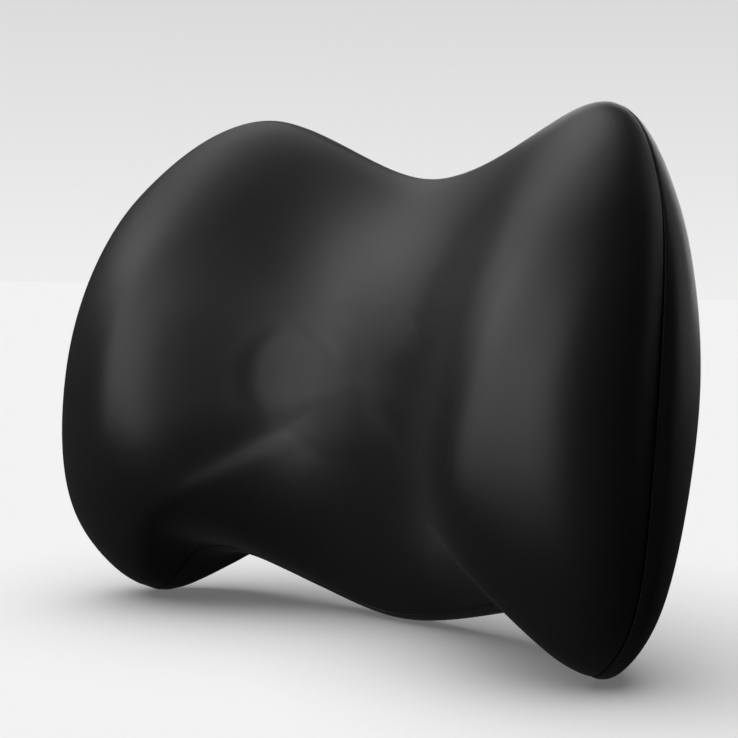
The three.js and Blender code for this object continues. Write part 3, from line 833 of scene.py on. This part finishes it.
def make_grip_dot():
    """One moulded dot, a little narrower at its top."""
    dot = add_rod(10, DOT_RADIUS, DOT_HEIGHT, (-math.pi / 2, 0, 0))
    edit(dot)
    choose(dot, "FACE", faces_out)
    bpy.ops.transform.resize(value=(0.8, 1, 0.8))
    bpy.ops.mesh.inset(thickness=0.3 * MM, depth=0.1 * MM)
    close_edit()
    bpy.ops.object.shade_smooth()
    return dot


def make_grip_strip(name, level):
    """A strip with its border and its rows of dots, centred at a level."""
    half_width, half_height = (size / 2 for size in GRIP_SIZE)
    strip = add_block(name, (-half_width, FLAT_BACK, level - half_height),
                      (half_width, FLAT_BACK + GRIP_THICK - GRIP_STEP, level + half_height))
    round_corners(strip, GRIP_CORNER, segments=8)
    inset_faces(strip, faces_out, (GRIP_BORDER, 0), (GRIP_STEP, GRIP_STEP))
    soften_edges(strip, 0.15, 2)
    top = FLAT_BACK + GRIP_THICK + DOT_HEIGHT / 2 - 0.1
    places = []
    for row in range(DOT_ROWS):
        shift = DOT_PITCH[0] / 4 * (1 if row % 2 else -1)
        for column in range(DOT_COLUMNS):
            x = (column - (DOT_COLUMNS - 1) / 2) * DOT_PITCH[0] + shift
            places.append(spot(x, top, level + (row - (DOT_ROWS - 1) / 2) * DOT_PITCH[1]))
    return join([strip, repeat(make_grip_dot(), places, "dots")], name)


rubber, tree, shader = node_material("grip_rubber")
dust = noise(tree, 60, 5)
shaded(tree, shader, (0.03, 0.03, 0.032), ranged(tree, dust, 0.8, 1.4, 0.35, 0.75))
tree.links.new(ranged(tree, dust, 0.55, 0.75), shader.inputs["Roughness"])
raised(tree, shader, noise(tree, 3500, 3), 0.04, 0.7)

for level_name, level in GRIP_LEVELS.items():
    strip = make_grip_strip(f"grip_strip_{level_name}_rubber", level)
    place_on(strip, "pillow", [f"grip_strip_{level_name}"], rubber)
    border = round_run(GRIP_SIZE[0] - 2.6, GRIP_SIZE[1] - 2.6, GRIP_CORNER - 1.3, (0, level),
                       FLAT_BACK + GRIP_THICK - 0.25)
    sew(f"grip_strip_{level_name}_stitches", "pillow", border)

# ---------------- strap anchors
# Each end of the elastic strap lies under a patch of coated cloth, and both are sewn down together
# near the end of the back's flat middle, with a box of stitches crossed from corner to corner.
STRAP_LEVEL, STRAP_WIDTH, STRAP_THICK, STRAP_Y = 112, 25, 1.2, 39.5
ANCHOR_X, ANCHOR_LENGTH, ANCHOR_TILT = 90, 20, math.radians(8)
PATCH_BORDER, PATCH_THICK, BOX_TOP = 4, 0.8, 2.57


def add_sheet(name, x, z, y, cuts):
    """A flat sheet between x and z limits at height y, cut into a grid."""
    pick()
    middle = Vector(((x[0] + x[1]) / 2, y, (z[0] + z[1]) / 2)) * MM
    bpy.ops.mesh.primitive_grid_add(x_subdivisions=cuts[0], y_subdivisions=cuts[1], size=1,
                                    location=middle, rotation=(-math.pi / 2, 0, 0))
    sheet = bpy.context.object
    sheet.scale = ((x[1] - x[0]) * MM, (z[1] - z[0]) * MM, 1)
    bpy.ops.object.transform_apply()
    sheet.name = sheet.data.name = name
    return sheet


def uv_across_back(piece):
    """Lays a flat piece's cloth out along X and Z."""
    lay_uv(piece, np.array([(v.co.x, v.co.z) for v in piece.data.vertices]))


def thicken(piece, thick, offset, levels=1):
    """Gives a sheet its thickness in millimetres and rounds it."""
    wall = piece.modifiers.new("thickness", "SOLIDIFY")
    wall.thickness, wall.offset = thick * MM, offset
    finer = piece.modifiers.new("finer", "SUBSURF")
    finer.levels = finer.render_levels = levels
    apply_modifiers(piece)
    bpy.ops.object.shade_smooth()


def woven_material(name, colour, pitch, roughness=(0.55, 0.75)):
    """Plain-woven ribs that follow the piece's own cloth directions, with painted shade between them and
    painted highlight on their crowns.
    """
    material, tree, shader = node_material(name)
    x, y = cloth_place(tree)
    turns = 2 * math.pi / (pitch * MM)
    along = maths(tree, "SINE", maths(tree, "MULTIPLY", x, turns))
    across = maths(tree, "SINE", maths(tree, "MULTIPLY", y, turns))
    over_under = maths(tree, "MULTIPLY", along, across)
    relief = maths(tree, "MULTIPLY_ADD", maths(tree, "ABSOLUTE", along), 0.6, over_under)
    wear = patchy(tree, 90, 0.85, 1.2)
    # Colour follows the weave's relief as well: painted shade between the ribs and a painted highlight on
    # their crowns.
    shaded(tree, shader, colour, maths(tree, "MULTIPLY", wear, ranged(tree, relief, 0.6, 1.45, -1, 1.6)))
    tree.links.new(ranged(tree, noise(tree, 2200), *roughness), shader.inputs["Roughness"])
    shader.inputs["Sheen Weight"].default_value = 0.25
    raised(tree, shader, relief, 0.12, 0.8)
    return material


webbing = woven_material("elastic_webbing", (0.022, 0.022, 0.024), 1.5)
coated_cloth = woven_material("coated_patch_cloth", (0.03, 0.03, 0.032), 0.7)

for side_name, side in (("left", -1), ("right", 1)):
    ground = (Matrix.Translation(Vector((side * ANCHOR_X, FLAT_BACK + 0.3, STRAP_LEVEL)) * MM)
              @ Matrix.Rotation(-side * ANCHOR_TILT, 4, "Z"))
    half = STRAP_WIDTH / 2
    end_x = sorted((0, side * ANCHOR_LENGTH))
    strap_end = add_sheet(f"strap_end_{side_name}_webbing", end_x, (-half, half), STRAP_THICK / 2, (8, 10))
    uv_across_back(strap_end)
    thicken(strap_end, STRAP_THICK, 0)
    place_on(strap_end, "pillow", [f"strap_end_{side_name}"], webbing, stand @ ground)

    patch_length, patch_half = ANCHOR_LENGTH + PATCH_BORDER, half + PATCH_BORDER
    patch = add_sheet(f"anchor_patch_{side_name}_cloth", sorted((0, side * patch_length)),
                      (-patch_half, patch_half), 0.6, (12, 16))
    edit(patch)
    over_strap = ANCHOR_LENGTH + 0.4
    choose(patch, "VERT", lambda at, n: abs(at.z) < half + 0.6 and abs(at.x) < over_strap)
    bpy.ops.transform.translate(value=(0, 1.55 * MM, 0))
    choose(patch, "VERT", lambda at, n: abs(at.z) > patch_half - 0.5 and side * at.x > patch_length - 0.5)
    bpy.ops.transform.translate(value=(-side * 0.9 * MM, 0, 0))
    close_edit()
    uv_across_back(patch)
    thicken(patch, PATCH_THICK, 0, 2)
    place_on(patch, "pillow", [f"anchor_patch_{side_name}"], coated_cloth, stand @ ground)

    near, far, reach = side * 2.5, side * (ANCHOR_LENGTH - 2), half - 2
    box = []
    for start, end in (((near, reach), (far, reach)), ((near, -reach), (far, -reach)),
                       ((near, -reach), (near, reach)), ((far, -reach), (far, reach)),
                       ((near, -reach), (far, reach)), ((near, reach), (far, -reach))):
        box += straight_run(start, end, BOX_TOP)
    sew(f"anchor_{side_name}_box_stitches", "pillow", box, stand @ ground)

# ---------------- elastic strap
# The strap is one length of black elastic webbing in two halves that clip together. Each half
# leaves its anchor, lies across the back, loops round its bar of the buckle and is sewn to itself.
HINGE_X, LOOP_RADIUS, LAYER_GAP = 88, 2.6, 0.4
SOCKET_BAR, PLUG_BAR = -26.5, 33.5
TAIL_END = {"left": -56, "right": 76}


def strap_path(side, bar_x, tail_end):
    """The strap's middle line from under its patch to the end of its tail, as (x, y) in millimetres."""
    way = -side
    path = [(side * (ANCHOR_X + 3), STRAP_Y - 1.5), (side * (ANCHOR_X + 1), STRAP_Y - 1.2),
            (side * (ANCHOR_X - 1), STRAP_Y - 0.5), (side * (ANCHOR_X - 3.5), STRAP_Y)]
    straight = np.linspace(side * (ANCHOR_X - 7), bar_x - way * 4, 14)
    path += [(x, STRAP_Y) for x in straight]
    centre_y = STRAP_Y + LOOP_RADIUS
    for step in range(1, 9):
        angle = -math.pi / 2 + math.pi * step / 9
        path.append((bar_x + way * LOOP_RADIUS * math.cos(angle), centre_y + LOOP_RADIUS * math.sin(angle)))
    tail_y = STRAP_Y + STRAP_THICK + LAYER_GAP
    path += [(bar_x - way * 4, centre_y + 2.3), (bar_x - way * 6.5, centre_y + 0.9),
             (bar_x - way * 9, tail_y + 0.5), (bar_x - way * 13, tail_y)]
    path += [(x, tail_y) for x in np.linspace(bar_x - way * 17, tail_end, 8)]
    return path


def make_strap(name, path):
    """Webbing drawn out edge by edge along its path."""
    half = STRAP_WIDTH / 2
    web = add_sheet(name, sorted((path[0][0], path[1][0])), (-half, half), 0, (1, 10))
    edit(web)
    for x, y in path[:2]:
        choose(web, "VERT", lambda at, n: abs(at.x - x) < 0.01 and abs(at.y) < 1e-6)
        bpy.ops.transform.translate(value=(0, y * MM, 0))
    for (x0, y0), (x, y) in zip(path[1:], path[2:]):
        choose_end(web, x0, y0)
        bpy.ops.mesh.extrude_edges_move(
            TRANSFORM_OT_translate={"value": ((x - x0) * MM, (y - y0) * MM, 0)})
    bpy.ops.mesh.select_all(action="SELECT")
    bpy.ops.mesh.normals_make_consistent(inside=False)
    bpy.ops.transform.translate(value=(0, 0, STRAP_LEVEL * MM))
    close_edit()
    stations = np.array(path)
    lengths = np.concatenate([[0], np.hypot(*np.diff(stations, axis=0).T).cumsum()])
    corners = np.array([v.co for v in web.data.vertices]) / MM
    nearest = np.argmin(np.linalg.norm(corners[:, None, :2] - stations[None], axis=-1), axis=1)
    lay_uv(web, np.stack([lengths[nearest], corners[:, 2]], -1) * MM)
    thicken(web, STRAP_THICK, 0)
    return web


def choose_end(web, x, y):
    """Selects the edges across the strap at its growing end."""
    choose(web, "EDGE", lambda at, way: abs(way.z) > 0.99 and abs(at.x - x) < 0.01
           and abs(at.y - y) < 0.01)


for side_name, side, bar_x in (("left", -1, SOCKET_BAR), ("right", 1, PLUG_BAR)):
    body = f"strap_half_{side_name}"
    strap = make_strap(f"strap_{side_name}_webbing", strap_path(side, bar_x, TAIL_END[side_name]))
    place_on(strap, None, [f"strap_{side_name}"], webbing)
    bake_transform(strap)
    top = STRAP_Y + 1.5 * STRAP_THICK + LAYER_GAP + 0.05
    reach = STRAP_WIDTH / 2 - 2
    rows = [bar_x - 13, bar_x - 16] if side < 0 else [TAIL_END["right"] - 2, TAIL_END["right"] - 3.5]
    tacks = []
    for x in rows:
        tacks += straight_run((x, STRAP_LEVEL - reach), (x, STRAP_LEVEL + reach), top, 2.2)
    sew(f"strap_{side_name}_tack_stitches", body, tacks)

# ---------------- buckle
# A side-release buckle moulded in black acetal. The socket is a flat box with windows in its sides
# for the catches of the plug, whose two sprung arms stand on either side of a flat guide.
BUCKLE_Y = STRAP_Y + LOOP_RADIUS
SOCKET_HALF, SOCKET_LENGTH, SOCKET_RISE = 15.5, 22, 3.2


def cut_with(piece, low, high, operation="DIFFERENCE"):
    """Cuts a block out of a piece, or joins one to it."""
    block = add_block("block", low, high)
    cut = piece.modifiers.new("cut", "BOOLEAN")
    cut.object, cut.operation, cut.solver = block, operation, "EXACT"
    apply_modifiers(piece)
    bpy.data.objects.remove(block)


def across(x, y, z):
    """The low and high corners of a block given by its limits round the buckle's middle line."""
    return ((x[0], BUCKLE_Y + y[0], STRAP_LEVEL + z[0]), (x[1], BUCKLE_Y + y[1], STRAP_LEVEL + z[1]))


def worn_colour(tree, shader, colour, gleam, start, patches):
    """A hard finish that is rubbed paler along its edges and uneven in patches."""
    sharpness = tree.nodes.new("ShaderNodeNewGeometry").outputs["Pointiness"]
    edges = ranged(tree, sharpness, 1, gleam, start, 0.62)
    shaded(tree, shader, colour, maths(tree, "MULTIPLY", edges, patchy(tree, patches, 0.85, 1.2)))


plastic, tree, shader = node_material("moulded_acetal")
grain = noise(tree, 2600, 3)
worn_colour(tree, shader, (0.022, 0.022, 0.024), 2.2, 0.52, 120)
tree.links.new(ranged(tree, grain, 0.36, 0.54), shader.inputs["Roughness"])
raised(tree, shader, grain, 0.02, 0.5)

socket = add_block("buckle_socket_shell", *across((-SOCKET_LENGTH, 0), (-SOCKET_RISE, SOCKET_RISE),
                                                  (-SOCKET_HALF, SOCKET_HALF)))
round_corners(socket, 2.5, "y", 5, lambda at: at.x < -10)
inset_faces(socket, lambda at, normal: abs(normal.y) > 0.9, (2.2, 0), (0.5, -0.35))
for side in (-1, 1):
    rail_z = sorted((side * 13, side * SOCKET_HALF))
    cut_with(socket, *across((-27.7, -21), (-2.2, 2.2), rail_z), "UNION")
    window_z = sorted((side * 12.8, side * 17))
    cut_with(socket, *across((-17, -5), (-1.9, 1.9), window_z))
cut_with(socket, *across((-27.7, -25.3), (-1.2, 1.2), (-14, 14)), "UNION")
cut_with(socket, *across((-19, 1), (-1.9, 1.9), (-13.4, 13.4)))
for x in (-14, -11.5, -9):
    cut_with(socket, *across((x, x + 1), (SOCKET_RISE - 0.6, SOCKET_RISE + 0.15), (-6, 6)), "UNION")
soften_edges(socket, 0.35, 2)
place_on(socket, "strap_half_left", ["buckle_socket"], plastic)


def slice_across(axis, places):
    """Cuts the piece in edit mode along planes across an axis, at places in millimetres."""
    for place in places:
        bpy.ops.mesh.select_all(action="SELECT")
        bpy.ops.mesh.bisect(plane_co=Vector(axis) * place * MM, plane_no=axis)


# The plug is drawn out of its base: the arms and the guide are pulled from its front face.
PLUG_BASE, PLUG_THICK = (22, 34.5), 2.8
ARM_STEPS = ((14, 9.4, 12.6), (12.8, 9.3, 14.5), (5, 8.3, 12.4), (3, 9.2, 10.6))
plug = add_block("buckle_plug_body", *across(PLUG_BASE, (-PLUG_THICK / 2, PLUG_THICK / 2),
                                             (-SOCKET_HALF, SOCKET_HALF)))
edit(plug)
slice_across((0, 0, 1), [STRAP_LEVEL + cut_z for cut_z in (-12.2, -8.8, -1.8, 1.8, 8.8, 12.2)])
for side in (-1, 1):
    x, inner, outer = PLUG_BASE[0], 8.8, 12.2
    for next_x, next_inner, next_outer in ARM_STEPS:
        middle = STRAP_LEVEL + side * (inner + outer) / 2
        choose(plug, "FACE", lambda at, normal: normal.x < -0.2 and abs(at.x - x) < 0.7
               and abs(at.z - middle) < 0.5)
        shift = side * (next_inner + next_outer - inner - outer) / 2
        extrude(next_x - x, 0, shift)
        stretch = (next_outer - next_inner) / (outer - inner)
        pivot = Vector((next_x, BUCKLE_Y, middle + shift)) * MM
        bpy.ops.transform.resize(value=(1, 1, stretch), center_override=pivot)
        x, inner, outer = next_x, next_inner, next_outer
choose(plug, "FACE", lambda at, normal: normal.x < -0.9 and abs(at.z - STRAP_LEVEL) < 1)
extrude(8.5 - PLUG_BASE[0], 0, 0)
bpy.ops.transform.resize(value=(1, 0.7, 0.5))
close_edit()
cut_with(plug, *across((29.1, 32.5), (-3, 3), (-13, 13)))
for x in (24, 26):
    for side in (-1, 1):
        rib_y = sorted((side * (PLUG_THICK / 2 - 0.3), side * (PLUG_THICK / 2 + 0.25)))
        cut_with(plug, *across((x, x + 0.9), rib_y, (-12, 12)), "UNION")
soften_edges(plug, 0.3, 2)
place_on(plug, "strap_half_right", ["buckle_plug"], plastic)

# ---------------- adjuster
# A small moulded ring that slides on the right half of the strap and holds its tail flat. Ribs on
# its top wall give a thumb something to push.
ADJUSTER_X, ADJUSTER_LENGTH = 60, 7
ring_x = (ADJUSTER_X - ADJUSTER_LENGTH / 2, ADJUSTER_X + ADJUSTER_LENGTH / 2)
adjuster = add_block("strap_adjuster_ring", (ring_x[0], 38.0, STRAP_LEVEL - 14.9),
                     (ring_x[1], 43.1, STRAP_LEVEL + 14.9))
round_corners(adjuster, 1.4, "x", 4)
inset_faces(adjuster, faces_out, (0.8, -0.25))
for rib in range(3):
    rib_x = ADJUSTER_X - 2.2 + 1.8 * rib
    cut_with(adjuster, (rib_x, 42.6, STRAP_LEVEL - 10), (rib_x + 0.8, 43.2, STRAP_LEVEL + 10), "UNION")
cut_with(adjuster, (ring_x[0] - 1, 38.5, STRAP_LEVEL - 12.9), (ring_x[1] + 1, 42.1, STRAP_LEVEL + 12.9))
soften_edges(adjuster, 0.2, 2)
place_on(adjuster, "adjuster", ["strap_adjuster"], plastic)

# ---------------- zip
# A zip with moulded teeth opens the back of the cover below the strap. Its woven tapes are sewn
# on flat, the two combs of teeth mesh between them, and a bent metal stop closes each end.
ZIP_LEVEL, ZIP_HALF, TAPE_HALF = 58, 59, 65
TAPE_EDGES, TAPE_THICK = (2.2, 9.2), 0.6
TEETH, TOOTH_PITCH, TOOTH_WIDE, TOOTH_RISE = 39, 3, 1.2, 1.6
tape_weave = woven_material("zip_tape_weave", (0.018, 0.018, 0.02), 0.6)


def make_tooth(side):
    """One tooth on its stretch of spine, with a rounded head that reaches across the middle."""
    ends = sorted((ZIP_LEVEL + side * 0.75, ZIP_LEVEL + side * 1.9))
    tooth = add_block("tooth", (-0.3, FLAT_BACK + 0.1, ends[0]),
                      (TOOTH_WIDE + 0.3, FLAT_BACK + TOOTH_RISE - 0.35, ends[1]))
    edit(tooth)
    choose(tooth, "FACE", lambda at, normal: normal.z * side < -0.9)
    bpy.ops.mesh.inset(thickness=0.15 * MM)
    extrude(0, 0, -side * 0.75)
    bpy.ops.transform.resize(value=(1.1, 1.4, 1))
    extrude(0, 0, -side * 0.4)
    bpy.ops.transform.resize(value=(0.7, 0.9, 1))
    close_edit()
    bpy.ops.object.shade_smooth_by_angle(angle=math.radians(50))
    return tooth


for side_name, side in (("upper", 1), ("lower", -1)):
    edges = sorted(ZIP_LEVEL + side * edge for edge in TAPE_EDGES)
    tape = add_block(f"zip_tape_{side_name}_weave", (-TAPE_HALF, FLAT_BACK, edges[0]),
                     (TAPE_HALF, FLAT_BACK + TAPE_THICK, edges[1]))
    inset_faces(tape, faces_out, (0.5, 0), (0.6, -0.12))
    uv_across_back(tape)
    soften_edges(tape, 0.12, 2)
    place_on(tape, "pillow", [f"zip_tape_{side_name}"], tape_weave)
    row_z = ZIP_LEVEL + side * (TAPE_EDGES[1] - 1.9)
    sew(f"zip_tape_{side_name}_stitches", "pillow",
        straight_run((-TAPE_HALF + 2, row_z), (TAPE_HALF - 2, row_z), FLAT_BACK + TAPE_THICK - 0.02))
    first = -ZIP_HALF + 1 + (0 if side > 0 else TOOTH_PITCH / 2)
    places = [Matrix.Translation((first + n * TOOTH_PITCH) * MM * Vector((1, 0, 0))) for n in range(TEETH)]
    teeth = repeat(make_tooth(side), places, f"zip_teeth_{side_name}_comb")
    spine = sorted(ZIP_LEVEL + side * edge for edge in (0.95, 1.9))
    bar = add_block("spine", (-ZIP_HALF, FLAT_BACK + 0.1, spine[0]), (ZIP_HALF, FLAT_BACK + 0.95, spine[1]))
    round_corners(bar, 0.3, "x", 3)
    join([teeth, bar], teeth.name)
    place_on(teeth, "pillow", [f"zip_teeth_{side_name}"], plastic)

lacquer, tree, shader = node_material("black_lacquered_zinc")
worn_colour(tree, shader, (0.03, 0.03, 0.033), 5, 0.53, 300)
shader.inputs["Metallic"].default_value = 0.5
tree.links.new(ranged(tree, noise(tree, 900, 3), 0.25, 0.42), shader.inputs["Roughness"])
raised(tree, shader, noise(tree, 1500, 2), 0.01, 0.4)

for end_name, x in (("closed", ZIP_HALF + 2), ("open", -ZIP_HALF - 2)):
    stop = add_block(f"zip_stop_{end_name}_clip", (x - 1.2, FLAT_BACK, ZIP_LEVEL - 2),
                     (x + 1.2, FLAT_BACK + TOOTH_RISE + 0.6, ZIP_LEVEL + 2))
    round_corners(stop, 0.7, "x", 4, lambda at: at.y > FLAT_BACK + 1)
    inset_faces(stop, faces_out, (0.35, -0.15))
    soften_edges(stop, 0.15, 2)
    place_on(stop, "pillow", [f"zip_stop_{end_name}"], lacquer)

# ---------------- slider and pull
# The slider is a die-cast plate over the teeth with a flange down each side and a small bridge,
# on which the pull tab turns. The tab has a narrow neck, a slot for the bridge and grip bars.
SLIDER_X, SLIDER_HALF, PULL_LENGTH, PULL_HALF = 50, 4.2, 19, 3.3
plate_y = (FLAT_BACK + TOOTH_RISE + 0.4, FLAT_BACK + TOOTH_RISE + 1.2)


def zip_block(name, x, y, z):
    """A block given by its limits round the zip's middle line."""
    return add_block(name, (x[0], y[0], ZIP_LEVEL + z[0]), (x[1], y[1], ZIP_LEVEL + z[1]))


def zip_cut(piece, x, y, z, operation="DIFFERENCE"):
    """Cuts such a block out of a piece, or joins one to it."""
    cut_with(piece, (x[0], y[0], ZIP_LEVEL + z[0]), (x[1], y[1], ZIP_LEVEL + z[1]), operation)


slider = zip_block("zip_slider_body", (SLIDER_X - 4.5, SLIDER_X + 4.5), plate_y, (-SLIDER_HALF, SLIDER_HALF))
edit(slider)
slice_across((1, 0, 0), (SLIDER_X - 1.5, SLIDER_X + 1.5))
for end in (-1, 1):
    choose(slider, "FACE", lambda at, normal: normal.x * end > 0.9)
    bpy.ops.transform.resize(value=(1, 1, 0.82))
close_edit()
round_corners(slider, 1.1, "y", 4)
for side in (-1, 1):
    zip_cut(slider, (SLIDER_X - 3.8, SLIDER_X + 3.8), (FLAT_BACK + TAPE_THICK + 0.4, plate_y[1] - 0.1),
            sorted((side * 2.5, side * 3.5)), "UNION")
zip_cut(slider, (SLIDER_X - 3.2, SLIDER_X + 3.2), (plate_y[1] - 0.2, plate_y[1] + 2.8), (-0.6, 0.6), "UNION")
zip_cut(slider, (SLIDER_X - 2.1, SLIDER_X + 2.1), (plate_y[1], plate_y[1] + 1.9), (-1, 1))
soften_edges(slider, 0.2, 2)
place_on(slider, "slider", ["zip_slider"], lacquer)

pull_y = plate_y[1] + 0.4
pull = zip_block("zip_pull_tab", (SLIDER_X - 0.6, SLIDER_X + PULL_LENGTH), (pull_y, pull_y + 1),
                 (-PULL_HALF, PULL_HALF))
edit(pull)
slice_across((1, 0, 0), (SLIDER_X + 5, SLIDER_X + 7))
choose(pull, "VERT", lambda at, normal: at.x < SLIDER_X + 5.5)
bpy.ops.transform.resize(value=(1, 1, 1.9 / PULL_HALF))
close_edit()
round_corners(pull, 3.1, "y", 8, lambda at: at.x > SLIDER_X + PULL_LENGTH - 1)
for bar in range(4):
    bar_x = SLIDER_X + 9 + 2 * bar
    zip_cut(pull, (bar_x, bar_x + 0.9), (pull_y - 0.12, pull_y + 1.2), (-2.1, 2.1), "UNION")
zip_cut(pull, (SLIDER_X + 0.6, SLIDER_X + 4.8), (pull_y - 1, pull_y + 2), (-1.1, 1.1))
soften_edges(pull, 0.2, 2)
place_on(pull, "pull", ["zip_pull"], lacquer)
